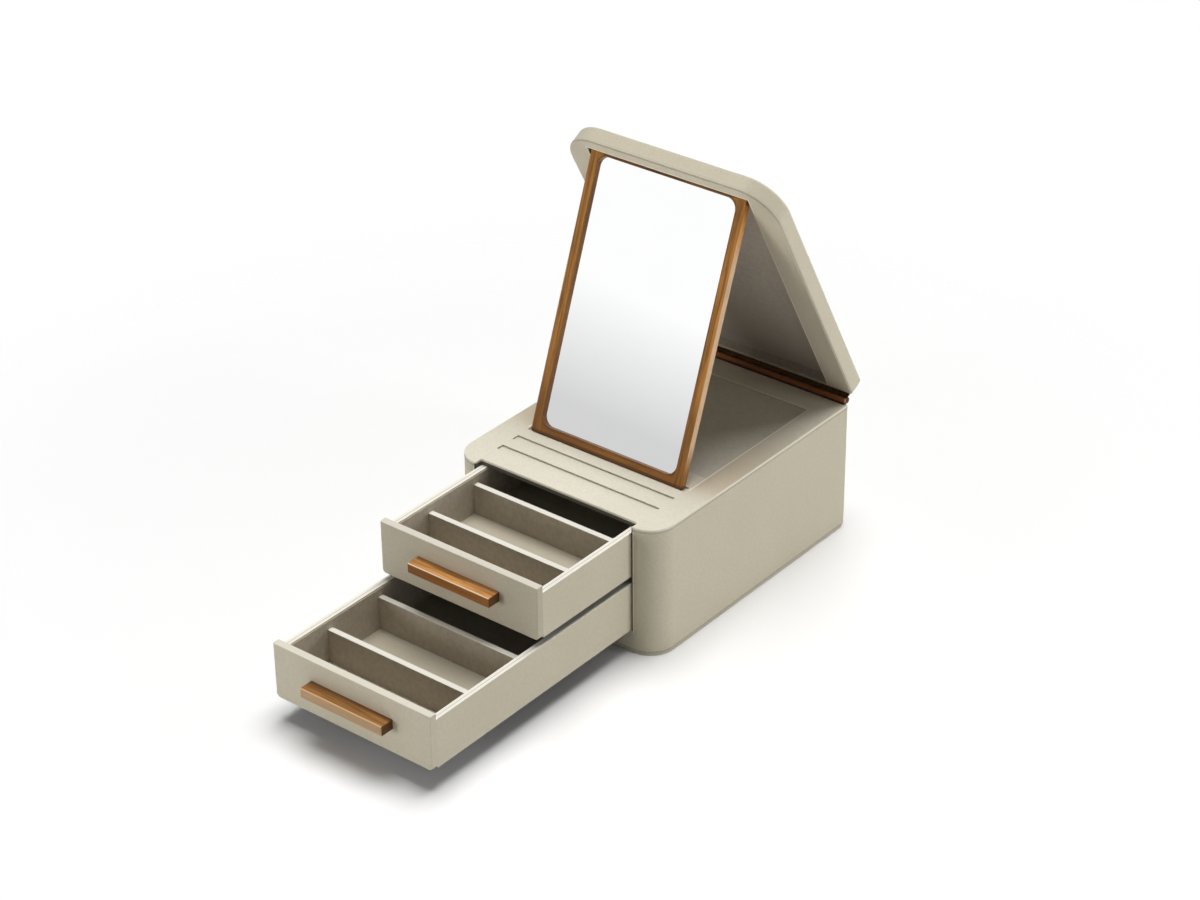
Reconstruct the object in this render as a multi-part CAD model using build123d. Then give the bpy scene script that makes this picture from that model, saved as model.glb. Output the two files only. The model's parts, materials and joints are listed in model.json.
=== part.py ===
from build123d import *
from math import acos, atan2, cos, degrees, hypot, radians, sin
import os

# Vanity box: a leather-covered case with two drawers, and a lid that a hinged mirror props open.
# The origin is the centre of the underside, -Y is the front and +Z is up. All sizes are in millimetres.

# ---- case ----
case_width = 200.0
case_depth = 251.0
case_height = 113.0
corner_radius = 22.0            # upright corners at the front
back_corner_radius = 1.5        # upright corners at the back
heel_radius = 7.4               # bottom edge at the back
leather = 0.8                   # leather skin
felt_thickness = 1.0
felt_inset = 7.0
felt_play = 0.4
skin_lift = 0.6                 # the skin ends this far above the table
base_top = 19.5
post_width = 23.0               # from the case's side to the drawer bay
bay_side_thickness = 5.0
wall_thickness = 9.0
post_depth = 23.5
back_thickness = 6.0
shelf_thickness = 5.0
shelf_housing = 1.5             # depth of the shelf's housings in the bay sides
shelf_setback = 7.0
top_board_thickness = 3.0
cover_thickness = 2.0
cover_edge_radius = 0.8
notch_depth = 7.4               # the top is cut back for the upper drawer's front
notch_radius = 2.0
shelf_rise = 1.1                # the lower front is this much more than half the height

# ---- top face ----
groove_count = 3
groove_width = 7.4
groove_margin = 22.5            # from the case's side
groove_depth = 1.6
groove_pitch = 18.7
first_groove = 30.4             # centre of the first groove, behind the front face
tray_margin = 21.0              # from the case's side
tray_front = 90.0
tray_rear_margin = 26.0
tray_depth = 0.8

# ---- drawers ----
panel_play = 0.5                # on each side of a drawer
panel_thickness = 6.0
panel_corner_radius = 3.5
panel_edge_radius = 0.6
panel_gap = 0.6                 # between the two fronts
panel_lift = 0.7                # from the bay floor to the lower front
panel_rise = 0.8                # of the upper front above the top
drawer_back_gap = 1.2           # behind a closed drawer
drawer_hold = 13.0              # length that stays in the bay at the stop
side_thickness = 5.5
drawer_back_thickness = 5.0
bottom_thickness = 5.0
wall_headroom = 0.5             # between a drawer's sides and the board above them
lining = 0.8
lining_reveal = 1.0             # bare edge above the lining
divider_thickness = 4.8
divider_drop = 7.5              # below the top of the sides
divider_play = 0.1
lower_dividers = (45.0, 101.0)  # divider faces behind the panel
upper_dividers = (41.0, 94.0)
upper_pull = 110.0              # how far the upper drawer stands open; the lower one is at its stop
glide_thickness = 0.5
glide_width = 8.0
glide_inset = 9.0               # from the bay's side
glide_margin = 1.0              # from the shelf's front
guide_pin_radius = 1.3
guide_pin_reach = 2.4           # into the groove
guide_pin_depth = 3.5           # into the drawer side
guide_pin_inset = 5.0           # from the drawer's back
guide_clearance = 0.3
handle_length = 80.0
handle_height = 8.8
handle_depth = 12.0
handle_rise = 1.5               # above the panel's middle
handle_radius = 1.2
handle_screw_spacing = 52.0
screw_radius = 1.5
screw_head_radius = 3.0
screw_head = 1.4
screw_grip = 8.0                # thread in the handle

# ---- lid ----
lid_setback = 3.0               # behind the case front when closed
lid_thickness = 15.5
lid_gap = 5.7                   # between the closed lid and the top
lid_corner_radius = 30.0
lid_back_radius = 3.0
lid_edge_radius = 3.0           # along the top
lid_rim_radius = 1.2            # along the underside
side_rim = 23.3
front_rim = 9.0
rear_rim = 4.0
recess_depth = 7.5
recess_radius = 1.0

# ---- hinge and the batten beside it ----
hinge_offset = 3.1              # axis behind the case's back
hinge_rise = 1.4                # axis above the top
hinge_end = 3.0                 # from the case's side
knuckle_radius = 2.6
knuckle_count = 19
knuckle_gap = 0.3
leaf_thickness = 1.0
leaf_height = 16.8
leaf_edge = 1.0                 # from the hinge axis to the leaf
hinge_pin_radius = 1.0
running_clearance = 0.05
leaf_screw_count = 5
leaf_screw_radius = 1.0
leaf_screw_head_radius = 1.9
leaf_screw_head = 0.8
leaf_screw_length = 6.0
leaf_screw_row = 14.6           # from the hinge axis
batten_clearance = 0.3          # under the closed lid
batten_depth = 2.5
batten_setback = 0.3
batten_radius = 0.8
batten_end_gap = 2.0

# ---- mirror ----
mirror_thickness = 5.8
mirror_side_gap = 2.7           # to the recess's side walls
mirror_top_gap = 1.3            # to the recess's front wall when folded
mirror_foot_gap = 1.2           # to the recess's rear wall when folded
mirror_floor_gap = 0.5          # to the recess's lining when folded
frame_face = 8.0                # rails at the sides and the foot
head_face = 6.0                 # rail at the head
frame_lip = 2.6
glass_overlap = 3.0
glass_thickness = 2.0
glass_play = 0.2
window_radius = 9.0
rabbet_radius = 3.0
frame_corner_radius = 2.0
frame_edge_radius = 0.6
head_radius = 2.8               # back edge of the head
foot_radius = 2.0               # back edge of the foot, which stands in a groove
foot_front_radius = 1.0
foot_clearance = 0.1
foot_play = 1.1                 # in the groove, behind the foot
pivot_pin_radius = 1.2
pivot_pin_embed = 4.5
pivot_pin_reach = 6.3
bush_radius = 2.5
bush_length = 5.0
bush_flange_radius = 3.2
bush_flange = 0.8
seat_clearance = 0.02
overrun = 1.0                   # of a cut past an open face
alike = 1e-3                    # places closer than this are one

# ---- places that follow from the sizes ----
front = -case_depth / 2
back = case_depth / 2
side = case_width / 2
bay_width = case_width - 2 * post_width
bay = bay_width / 2
panel_width = bay_width - 2 * panel_play
drawer_half = panel_width / 2
wall_inner = back - leather - back_thickness
drawer_length = wall_inner - drawer_back_gap - front
drawer_travel = drawer_length - drawer_hold
cover_bottom = case_height - cover_thickness
board_bottom = cover_bottom - top_board_thickness
lower_floor = base_top + panel_lift
upper_wall_top = board_bottom - wall_headroom
shelf_top = (lower_floor + case_height) / 2 + shelf_rise
shelf_bottom = shelf_top - shelf_thickness
upper_floor = shelf_top + panel_gap
lid_front = front + lid_setback
lid_bottom = case_height + lid_gap
recess_width = case_width - 2 * side_rim
recess_front = lid_front + front_rim
recess_back = back - rear_rim
recess_length = recess_back - recess_front
recess_top = lid_bottom + recess_depth
batten_height = lid_gap - batten_clearance
hinge_width = case_width - 2 * hinge_end
hinge_y = back + hinge_offset
hinge_z = case_height + hinge_rise
mirror_width = recess_width - 2 * mirror_side_gap
mirror_length = recess_length - mirror_top_gap - mirror_foot_gap
pivot_offset = mirror_thickness / 2
pivot_y = recess_front + mirror_top_gap + pivot_offset
pivot_z = recess_top - mirror_floor_gap - pivot_offset


# ---- shapes ----
def block(x0, x1, y0, y1, z0, z1):
    """A board between six limits."""
    return Pos((x0 + x1) / 2, (y0 + y1) / 2, (z0 + z1) / 2) * Box(x1 - x0, y1 - y0, z1 - z0)


def outline(width, y0, y1, front_radius, back_radius):
    """A plan outline, symmetrical about X = 0, with its own radius at the front and back corners."""
    face = Pos(0, (y0 + y1) / 2) * Rectangle(width, y1 - y0)
    face = fillet(face.vertices().group_by(Axis.Y)[0], front_radius)
    return fillet(face.vertices().group_by(Axis.Y)[-1], back_radius)


def case_plan(inset, z0, z1):
    """The case's outline, set in by a skin, between two heights."""
    plan = outline(
        case_width - 2 * inset, front + inset, back - inset, corner_radius - inset, back_corner_radius
    )
    return Pos(0, 0, z0) * extrude(plan, z1 - z0)


def case_body(inset, z0, z1):
    """The case's outline between two heights, rounded along its heel."""
    profile = Pos((back + front) / 2, (z0 + z1) / 2) * Rectangle(case_depth - 2 * inset, z1 - z0)
    heel = profile.vertices().group_by(Axis.Y)[0].sort_by(Axis.X)[-1]
    profile = fillet(heel, heel_radius - inset)
    return case_plan(inset, z0, z1) & extrude(Plane.YZ * profile, side, both=True)


def rod(x0, x1, y, z, radius):
    """A round bar along X."""
    return Pos((x0 + x1) / 2, y, z) * Rot(0, 90, 0) * Cylinder(radius, x1 - x0)


def bolt(x, y0, y1, z, radius):
    """A round bar along Y."""
    return Pos(x, (y0 + y1) / 2, z) * Rot(90, 0, 0) * Cylinder(radius, y1 - y0)


def both_sides(piece):
    """A piece and its mirror image across X = 0."""
    return [piece, mirror(piece, about=Plane.YZ)]


def edges_along(piece, axis, **limits):
    """The edges parallel to an axis, whose centres lie at the given coordinates."""
    found = piece.edges().filter_by(axis)
    for name, place in limits.items():
        found = [e for e in found if abs(getattr(e.center(), name) - place) < alike]
    return found


def outer_edges(piece, z):
    """The edges that lie flat at one height."""
    found = []
    for edge in piece.edges():
        reach = edge.bounding_box()
        if abs(reach.min.Z - z) + abs(reach.max.Z - z) < alike:
            found.append(edge)
    return found


# ---- case ----
def base_board():
    """The thick board under the lower drawer, with its rounded heel."""
    return case_body(leather, felt_thickness, base_top)


def base_felt(play=0.0):
    """The felt that the case stands on, or the space for it with some play."""
    plan = outline(
        case_width - 2 * (felt_inset - play),
        front + felt_inset - play,
        back - heel_radius - felt_play + play,
        corner_radius - felt_inset + play,
        back_corner_radius,
    )
    return extrude(plan, felt_thickness)


def bay_opening(z0, z1):
    """The space between the posts, as seen from the front."""
    return block(-bay, bay, front - overrun, front + post_depth, z0, z1)


def front_posts():
    """The rounded posts on each side of the drawers."""
    zone = block(bay + bay_side_thickness, side, front, front + post_depth, base_top, board_bottom)
    return both_sides(case_plan(leather, base_top, board_bottom) & zone)


def side_walls():
    """The outer side boards, from the posts to the back wall."""
    outer = side - leather
    wall = block(outer - wall_thickness, outer, front + post_depth, wall_inner, base_top, board_bottom)
    return both_sides(wall)


def guide_heights():
    """The heights of the drawers' guide pins and of the grooves that they run in."""
    return [(lower_floor + shelf_bottom) / 2, (upper_floor + upper_wall_top) / 2]


def bay_sides():
    """The boards beside the drawers, with the shelf's housing and the two guide grooves."""
    outer = bay + bay_side_thickness
    board = block(bay, outer, front + leather, wall_inner, base_top, board_bottom)
    board &= case_plan(leather, base_top, board_bottom)
    board -= block(
        bay, bay + shelf_housing, front + shelf_setback, wall_inner, shelf_bottom, shelf_top
    )
    reach = guide_pin_radius + guide_clearance
    depth = guide_pin_reach + guide_clearance
    pin_closed = front + drawer_length - guide_pin_inset
    for height in guide_heights():
        board -= block(
            bay, bay + depth, pin_closed - drawer_travel - reach, pin_closed + reach,
            height - reach, height + reach,
        )
    return both_sides(board)


def drawer_play():
    """The side play of a drawer in its bay."""
    return bay - drawer_half


def back_wall():
    """The back board, drilled for the hinge screws."""
    outer = side - leather
    wall = block(-outer, outer, wall_inner, back - leather, base_top, board_bottom)
    upright = edges_along(wall, Axis.Z, Y=back - leather)
    return fillet(upright, back_corner_radius) - screw_holes(-1)


def mid_shelf():
    """The shelf between the drawers."""
    half = bay + shelf_housing
    return block(-half, half, front + shelf_setback, wall_inner, shelf_bottom, shelf_top)


def top_notch(z0, z1):
    """The cut in the top for the upper drawer's front, with rounded inner corners."""
    plan = Pos(0, front + (notch_depth - overrun) / 2) * Rectangle(bay_width, notch_depth + overrun)
    plan = fillet(plan.vertices().group_by(Axis.Y)[-1], notch_radius)
    return Pos(0, 0, z0) * extrude(plan, z1 - z0)


def top_board():
    """The board that closes the case, cut back for the upper drawer."""
    return case_plan(leather, board_bottom, cover_bottom) - top_notch(board_bottom, cover_bottom)


def groove_places():
    """The middles of the grooves that the mirror's foot can stand in."""
    return [front + first_groove + i * groove_pitch for i in range(groove_count)]


def top_cover():
    """The leather top, with the grooves for the mirror's foot and a shallow tray behind them."""
    cover = case_plan(0, cover_bottom, case_height) - top_notch(cover_bottom, case_height)
    cover = fillet(outer_edges(cover, case_height), cover_edge_radius)
    for y in groove_places():
        reach = side - groove_margin
        half = groove_width / 2
        cover -= block(-reach, reach, y - half, y + half, case_height - groove_depth, case_height)
    reach = side - tray_margin
    return cover - block(
        -reach, reach, front + tray_front, back - tray_rear_margin, case_height - tray_depth, case_height
    )


def case_wrap():
    """The leather round the case's sides, back, posts and base."""
    skin = case_body(0, skin_lift, cover_bottom) - case_body(leather, felt_thickness, cover_bottom)
    return skin - base_felt(felt_play) - bay_opening(base_top, cover_bottom) - screw_holes(-1)


def glides(z):
    """Two felt strips that a drawer slides on."""
    far = bay - glide_inset
    y0 = front + shelf_setback + glide_margin
    strip = block(far - glide_width, far, y0, wall_inner - glide_margin, z, z + glide_thickness)
    return both_sides(strip)


def rear_batten():
    """The walnut batten along the back of the top."""
    half = side - batten_end_gap
    y1 = back - batten_setback
    batten = block(
        -half, half, y1 - batten_depth, y1, case_height, case_height + batten_height
    )
    return fillet(outer_edges(batten, case_height + batten_height), batten_radius)


# ---- hinge ----
def knuckles(parity):
    """Every other knuckle of the hinge, and the strips that tie them to their leaf."""
    step = hinge_width / knuckle_count
    sense = 1 if parity else -1
    reach = sorted((hinge_z, hinge_z + sense * (knuckle_radius + 2 * knuckle_gap)))
    tubes = []
    for i in range(parity, knuckle_count, 2):
        x0 = (knuckle_gap - hinge_width) / 2 + i * step
        x1 = x0 + step - knuckle_gap
        tube = rod(x0, x1, hinge_y, hinge_z, knuckle_radius)
        tubes.append(tube + block(x0, x1, back, back + leaf_thickness, *reach))
    return tubes


def leaf(parity):
    """One leaf of the hinge, the case's below the axis or the lid's above it, with the lid closed."""
    sense = 1 if parity else -1
    half = hinge_width / 2
    reach = sorted((hinge_z + sense * leaf_edge, hinge_z + sense * leaf_height))
    plate = block(-half, half, back, back + leaf_thickness, *reach)
    plate -= rod(-half, half, hinge_y, hinge_z, knuckle_radius + knuckle_gap)
    plate += knuckles(parity)
    plate -= rod(-half, half, hinge_y, hinge_z, hinge_pin_radius + running_clearance)
    z = hinge_z + sense * leaf_screw_row
    for x in leaf_screw_places():
        plate -= bolt(x, back, back + leaf_thickness, z, leaf_screw_radius + seat_clearance)
    return plate


def leaf_screw_places():
    """The screws of a leaf, evenly spaced."""
    step = hinge_width / leaf_screw_count
    return [(i + 0.5) * step - hinge_width / 2 for i in range(leaf_screw_count)]


def leaf_screws(sense):
    """The screws of the leaf on one side of the axis."""
    z = hinge_z + sense * leaf_screw_row
    seat = back + leaf_thickness
    screws = []
    for x in leaf_screw_places():
        head = bolt(x, seat, seat + leaf_screw_head, z, leaf_screw_head_radius)
        head = fillet(head.edges().group_by(Axis.Y)[-1], leaf_screw_head / 2)
        screws.append(head + bolt(x, seat - leaf_screw_length, seat, z, leaf_screw_radius))
    return screws


def screw_holes(sense):
    """The holes for the leaf screws on one side of the axis."""
    z = hinge_z + sense * leaf_screw_row
    seat = back + leaf_thickness
    radius = leaf_screw_radius + seat_clearance
    return [bolt(x, seat - leaf_screw_length, seat, z, radius) for x in leaf_screw_places()]


def hinge_pin():
    """The pin through the knuckles."""
    return rod(-hinge_width / 2, hinge_width / 2, hinge_y, hinge_z, hinge_pin_radius)


# ---- drawers ----
def drawer_panel(z0, z1):
    """A drawer front, rounded at its bottom corners, with seats for the handle's screws."""
    panel = block(-drawer_half, drawer_half, front, front + panel_thickness, z0, z1)
    panel = fillet(edges_along(panel, Axis.Y, Z=z0), panel_corner_radius)
    panel = fillet(panel.faces().sort_by(Axis.Y)[0].edges(), panel_edge_radius)
    inner = front + panel_thickness
    for x in handle_screw_places():
        z = handle_height_at(z0, z1)
        panel -= bolt(x, front - overrun, inner, z, screw_radius + seat_clearance)
        panel -= bolt(x, inner - screw_head, inner, z, screw_head_radius + seat_clearance)
    return panel


def handle_height_at(z0, z1):
    """The height of the handle's middle on a front between two heights."""
    return (z0 + z1) / 2 + handle_rise


def handle_screw_places():
    """The handle's two screws."""
    return [-handle_screw_spacing / 2, handle_screw_spacing / 2]


def drawer_handle(z):
    """The walnut bar on a drawer front."""
    half = handle_height / 2
    bar = block(-handle_length / 2, handle_length / 2, front - handle_depth, front, z - half, z + half)
    rounded = [e for e in bar.edges() if e.center().Y < front - alike]
    bar = fillet(rounded, handle_radius)
    for x in handle_screw_places():
        bar -= bolt(x, front - screw_grip, front, z, screw_radius + seat_clearance)
    return bar


def handle_screws(z):
    """The two screws that hold the handle from inside the drawer."""
    inner = front + panel_thickness
    return [
        bolt(x, inner - screw_head, inner, z, screw_head_radius)
        + bolt(x, front - screw_grip, inner - screw_head, z, screw_radius)
        for x in handle_screw_places()
    ]


def drawer_side(z0, z1, pin_height):
    """The right side of a drawer, drilled for its guide pin."""
    board = block(
        drawer_half - side_thickness, drawer_half, front + panel_thickness, front + drawer_length, z0, z1
    )
    y = front + drawer_length - guide_pin_inset
    return board - rod(
        drawer_half - guide_pin_depth, drawer_half, y, pin_height, guide_pin_radius + seat_clearance
    )


def guide_pins(height):
    """The pins at a drawer's back that run in the bay sides and stop the drawer."""
    y = front + drawer_length - guide_pin_inset
    reach = drawer_play() + guide_pin_reach
    return both_sides(rod(drawer_half - guide_pin_depth, drawer_half + reach, y, height, guide_pin_radius))


def drawer_lining(floor, wall_top):
    """The suede sheets on a drawer's floor and walls."""
    half = drawer_half - side_thickness
    y0 = front + panel_thickness
    y1 = front + drawer_length - drawer_back_thickness
    top = wall_top - lining_reveal
    sheets = [block(-half, half, y0, y1, floor, floor + lining)]
    sheets += both_sides(block(half - lining, half, y0, y1, floor + lining, top))
    sheets.append(block(-half + lining, half - lining, y0, y0 + lining, floor + lining, top))
    sheets.append(block(-half + lining, half - lining, y1 - lining, y1, floor + lining, top))
    return sheets


def drawer_divider(place, floor, wall_top):
    """A divider across a drawer, standing on the lining."""
    half = drawer_half - side_thickness - lining - divider_play
    y0 = front + panel_thickness + place
    return block(
        -half, half, y0, y0 + divider_thickness, floor + lining, wall_top - divider_drop
    )


def drawer(name, z0, panel_top, wall_top, pin_height, dividers, pull):
    """All pieces of one drawer, pulled out by its distance."""
    inner = drawer_half - side_thickness
    y0 = front + panel_thickness
    y1 = front + drawer_length - drawer_back_thickness
    floor = z0 + bottom_thickness
    handle_z = handle_height_at(z0, panel_top)
    right = drawer_side(z0, wall_top, pin_height)
    pieces = {
        "panel": drawer_panel(z0, panel_top),
        "right_side": right,
        "left_side": mirror(right, about=Plane.YZ),
        "back": block(-inner, inner, y1, y1 + drawer_back_thickness, z0, wall_top),
        "bottom": block(-inner, inner, y0, y1, z0, floor),
        "front_divider": drawer_divider(dividers[0], floor, wall_top),
        "rear_divider": drawer_divider(dividers[1], floor, wall_top),
        "lining": drawer_lining(floor, wall_top),
        "handle": drawer_handle(handle_z),
        "handle_screws": handle_screws(handle_z),
        "guide_pins": guide_pins(pin_height),
    }
    return {f"{name}_{key}": moved(piece, Pos(0, -pull, 0)) for key, piece in pieces.items()}


def moved(piece, place):
    """A piece, or each piece of a list, carried to its place."""
    if isinstance(piece, list):
        return [place * one for one in piece]
    return place * piece


# ---- lid, modelled closed ----
def lid_block(inset, z0, z1):
    """The lid's outer form, set in by a skin, with its rounded rims."""
    plan = outline(
        case_width - 2 * inset, lid_front + inset, back - inset,
        lid_corner_radius - inset, lid_back_radius - inset,
    )
    body = Pos(0, 0, z0) * extrude(plan, z1 - z0)
    body = fillet(outer_edges(body, z1), lid_edge_radius - inset)
    return fillet(outer_edges(body, z0), lid_rim_radius - inset)


def lid_recess(depth):
    """The space under the lid that takes the folded mirror."""
    plan = Pos(0, (recess_front + recess_back) / 2) * Rectangle(recess_width, recess_length)
    plan = fillet(plan.vertices(), recess_radius)
    return Pos(0, 0, lid_bottom - overrun) * extrude(plan, depth + overrun)


def lid_core():
    """The boards of the lid before they are cut into their pieces."""
    return lid_block(leather, lid_bottom + leather, lid_bottom + lid_thickness - leather)


def lid_panel():
    """The board over the whole lid."""
    joint = recess_top + lining
    panel = lid_core() & block(-side, side, lid_front, back, joint, joint + lid_thickness)
    return panel - screw_holes(1)


def lid_rims():
    """The four members round the recess: left, right, front and rear."""
    joint = recess_top + lining
    half = recess_width / 2
    rim = lid_core() - lid_recess(recess_depth + lining)
    zones = {
        "right": block(half, side, lid_front, back, lid_bottom, joint),
        "front": block(-half, half, lid_front, recess_front + recess_radius, lid_bottom, joint),
        "rear": block(-half, half, recess_back - recess_radius, back, lid_bottom, joint),
    }
    right = (rim & zones["right"]) - rod(
        half, half + bush_length, pivot_y, pivot_z, bush_radius + seat_clearance
    )
    return {
        "right": right,
        "left": mirror(right, about=Plane.YZ),
        "front": rim & zones["front"],
        "rear": rim & zones["rear"],
    }


def lid_wrap():
    """The leather over the lid and round its rim."""
    skin = lid_block(0, lid_bottom, lid_bottom + lid_thickness) - lid_core()
    return skin - lid_recess(recess_depth) - screw_holes(1)


def lid_lining():
    """The suede sheet at the bottom of the recess."""
    return lid_recess(recess_depth + lining) & block(
        -side, side, recess_front, recess_back, recess_top, recess_top + lining
    )


def pivot_bushes():
    """The flanged bushes in the side rims that carry the mirror's pins."""
    half = recess_width / 2
    bush = rod(half, half + bush_length, pivot_y, pivot_z, bush_radius)
    bush += rod(half - bush_flange, half, pivot_y, pivot_z, bush_flange_radius)
    bore = rod(
        half - bush_flange, half + bush_length, pivot_y, pivot_z, pivot_pin_radius + running_clearance
    )
    return both_sides(bush - bore)


# ---- mirror, modelled folded into the closed lid with its glass facing down ----
def mirror_limits(inset, head_inset):
    """The front and back limits of the mirror, set in from its foot and its head."""
    y0 = recess_front + mirror_top_gap
    return y0 + head_inset, y0 + mirror_length - inset


def mirror_plate(inset, head_inset, radius, z0, z1):
    """A plate with the mirror's outline, set in from it, with rounded corners."""
    plan = outline(mirror_width - 2 * inset, *mirror_limits(inset, head_inset), radius, radius)
    return Pos(0, 0, z0) * extrude(plan, z1 - z0)


def glass_insets():
    """How far the glass and the board behind it are set in."""
    return [face - glass_overlap + glass_play for face in (frame_face, head_face)]


def mirror_frame():
    """The walnut frame: a lip over the glass, a rabbet behind it and rounded head and foot."""
    z0 = pivot_z - pivot_offset
    z1 = pivot_z + pivot_offset
    y0, y1 = mirror_limits(0, 0)
    half = mirror_width / 2
    frame = block(-half, half, y0, y1, z0, z1)
    frame = fillet(edges_along(frame, Axis.X, Y=y0, Z=z1), head_radius)
    frame = fillet(edges_along(frame, Axis.X, Y=y0, Z=z0), frame_edge_radius)
    frame = fillet(edges_along(frame, Axis.X, Y=y1, Z=z1), foot_radius)
    frame = fillet(edges_along(frame, Axis.X, Y=y1, Z=z0), foot_front_radius)
    frame &= mirror_plate(0, 0, frame_corner_radius, z0, z1)
    frame -= mirror_plate(frame_face, head_face, window_radius, z0, z1)
    rabbet, head_rabbet = frame_face - glass_overlap, head_face - glass_overlap
    frame -= mirror_plate(rabbet, head_rabbet, rabbet_radius, z0 + frame_lip, z1)
    for x0, x1 in ((half - pivot_pin_embed, half), (-half, -half + pivot_pin_embed)):
        frame -= rod(x0, x1, pivot_y, pivot_z, pivot_pin_radius + seat_clearance)
    return frame


def mirror_glass():
    """The silvered glass."""
    z0 = pivot_z - pivot_offset + frame_lip
    return mirror_plate(*glass_insets(), rabbet_radius, z0, z0 + glass_thickness)


def mirror_back():
    """The board that closes the frame behind the glass."""
    z0 = pivot_z - pivot_offset + frame_lip + glass_thickness
    return mirror_plate(*glass_insets(), rabbet_radius, z0, pivot_z + pivot_offset)


def mirror_pins():
    """The pins at the mirror's top corners."""
    half = mirror_width / 2
    pin = rod(half - pivot_pin_embed, half + pivot_pin_reach, pivot_y, pivot_z, pivot_pin_radius)
    return both_sides(pin)


# ---- the propped pose ----
def elevation(from_y, from_z, to_y, to_z):
    """The direction from one point to another, in degrees above the forward direction."""
    return degrees(atan2(to_z - from_z, from_y - to_y))


def propped_angles():
    """How far the lid opens, and the mirror swings out of it, when the foot stands in the last groove."""
    foot_y = groove_places()[-1] + groove_width / 2 - foot_radius - foot_play
    foot_z = case_height - groove_depth + foot_clearance + foot_radius
    folded_y = mirror_limits(0, 0)[1] - foot_radius
    folded_z = pivot_z + pivot_offset - foot_radius
    arm = hypot(pivot_y - hinge_y, pivot_z - hinge_z)
    leg = hypot(folded_y - pivot_y, folded_z - pivot_z)
    floor = hypot(foot_y - hinge_y, foot_z - hinge_z)
    apex = degrees(acos((arm**2 + floor**2 - leg**2) / (2 * arm * floor)))
    raised = elevation(hinge_y, hinge_z, foot_y, foot_z) + apex
    lid_angle = raised - elevation(hinge_y, hinge_z, pivot_y, pivot_z)
    strut = degrees(acos((arm**2 + leg**2 - floor**2) / (2 * arm * leg)))
    folded = elevation(pivot_y, pivot_z, hinge_y, hinge_z) - elevation(pivot_y, pivot_z, folded_y, folded_z)
    return lid_angle, (strut + folded) % 360


lid_angle, mirror_angle = propped_angles()


def propped_pivot():
    """The place of the mirror's axis in the propped pose."""
    arm = hypot(pivot_y - hinge_y, pivot_z - hinge_z)
    raised = radians(lid_angle + elevation(hinge_y, hinge_z, pivot_y, pivot_z))
    return hinge_y - arm * cos(raised), hinge_z + arm * sin(raised)


def opened(piece):
    """A piece of the closed lid, turned about the hinge into the propped pose."""
    if isinstance(piece, list):
        return [opened(one) for one in piece]
    return piece.rotate(Axis((0, hinge_y, hinge_z), (1, 0, 0)), -lid_angle)


def unfolded(piece):
    """A piece of the folded mirror, swung out of the closed lid and then opened with it."""
    if isinstance(piece, list):
        return [unfolded(one) for one in piece]
    return opened(piece.rotate(Axis((0, pivot_y, pivot_z), (1, 0, 0)), -mirror_angle))


# ---- assembly ----
def case_pieces():
    """Every piece of the fixed case."""
    post = front_posts()
    wall = side_walls()
    bay_side = bay_sides()
    return {
        "base_felt": base_felt(),
        "base_board": base_board(),
        "right_post": post[0],
        "left_post": post[1],
        "right_wall": wall[0],
        "left_wall": wall[1],
        "right_bay_side": bay_side[0],
        "left_bay_side": bay_side[1],
        "back_wall": back_wall(),
        "mid_shelf": mid_shelf(),
        "top_board": top_board(),
        "top_cover": top_cover(),
        "case_wrap": case_wrap(),
        "lower_glides": glides(base_top),
        "upper_glides": glides(shelf_top),
        "rear_batten": rear_batten(),
        "case_leaf": leaf(0),
        "hinge_pin": hinge_pin(),
        "case_leaf_screws": leaf_screws(-1),
    }


def lid_pieces():
    """Every piece of the lid, in the propped pose."""
    pieces = {
        "lid_panel": lid_panel(),
        "lid_wrap": lid_wrap(),
        "lid_lining": lid_lining(),
        "lid_leaf": leaf(1),
        "lid_leaf_screws": leaf_screws(1),
        "pivot_bushes": pivot_bushes(),
    }
    for name, rim in lid_rims().items():
        pieces[f"lid_rim_{name}"] = rim
    return {name: opened(piece) for name, piece in pieces.items()}


def mirror_pieces():
    """Every piece of the mirror, in the propped pose."""
    pieces = {
        "mirror_frame": mirror_frame(),
        "mirror_glass": mirror_glass(),
        "mirror_back": mirror_back(),
        "mirror_pins": mirror_pins(),
    }
    return {name: unfolded(piece) for name, piece in pieces.items()}


def drawer_pieces():
    """Both drawers, each pulled out by its distance."""
    low, high = guide_heights()
    lower = drawer(
        "lower", lower_floor, shelf_top, shelf_bottom - wall_headroom, low, lower_dividers, drawer_travel
    )
    upper = drawer(
        "upper", upper_floor, case_height + panel_rise, upper_wall_top, high, upper_dividers, upper_pull
    )
    return {**lower, **upper}


os.makedirs("parts", exist_ok=True)
for name, piece in {**case_pieces(), **drawer_pieces(), **lid_pieces(), **mirror_pieces()}.items():
    node = Compound(children=piece) if isinstance(piece, list) else piece
    export_step(node, f"parts/{name}.step")
print(f"lid opens {lid_angle:.4f} and the mirror swings {mirror_angle:.4f} degrees")
print(
    f"hinge axis at y {hinge_y:.4f}, z {hinge_z:.4f};",
    "mirror axis at y {:.4f}, z {:.4f}".format(*propped_pivot()),
)
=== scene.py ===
import json
from math import atan2, cos, pi, radians, sin

import bpy
from mathutils import Matrix, Vector


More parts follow.
